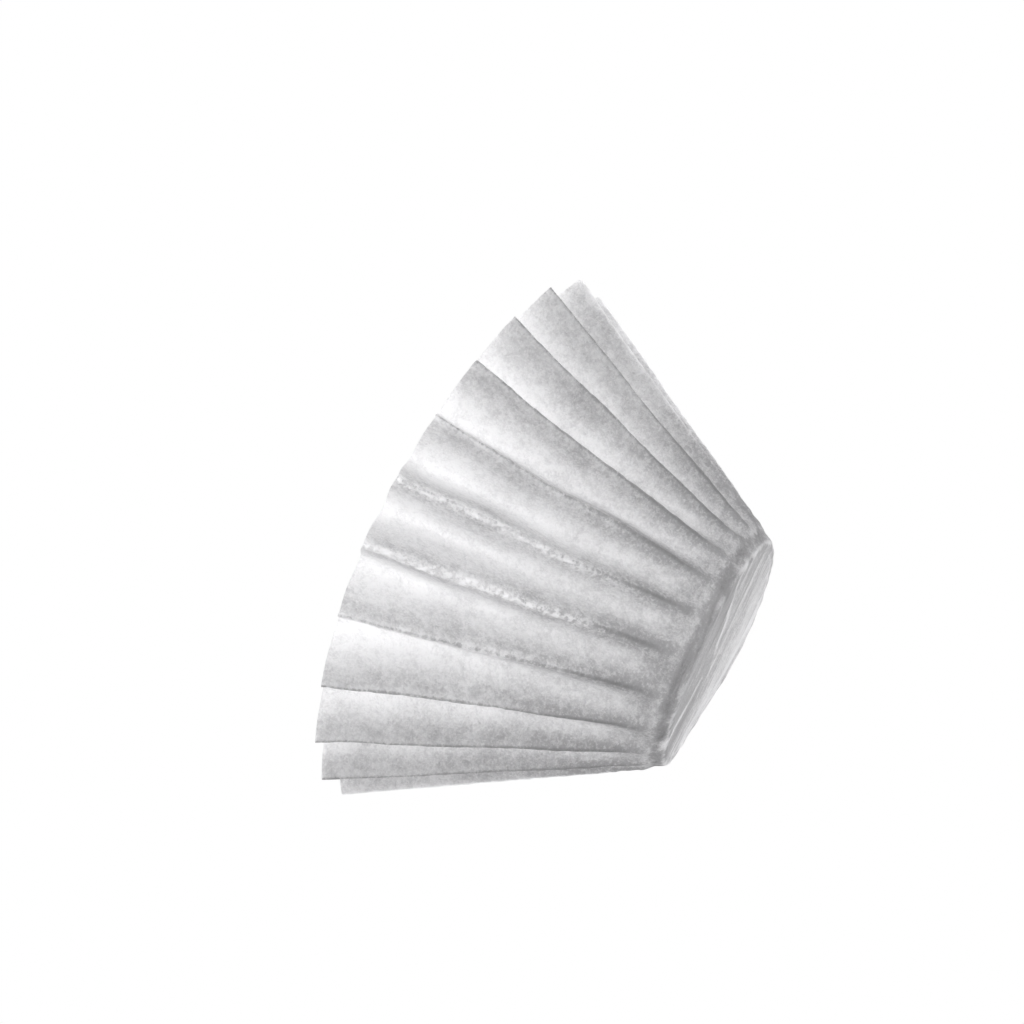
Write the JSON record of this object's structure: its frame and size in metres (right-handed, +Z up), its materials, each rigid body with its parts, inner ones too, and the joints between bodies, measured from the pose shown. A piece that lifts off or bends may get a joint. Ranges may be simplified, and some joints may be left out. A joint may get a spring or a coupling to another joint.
{
  "type": "wave paper coffee filter",
  "caption": "Flat-bottomed paper filter cup with a tall fluted wall, pressed from one round sheet, for a flat-bottomed coffee dripper.",
  "frame": {"origin": "centre of the underside of the flat base, on the surface that the filter stands on", "axes": "+Z up the cup's axis, from the base to the mouth"},
  "size_m": [0.1198, 0.1099, 0.0639],
  "materials": {
    "paper": "matt white fibrous filter paper, thin enough to let light through"
  },
  "bodies": {
    "root": {"filter_paper": "paper"}
  },
  "joints": []
}
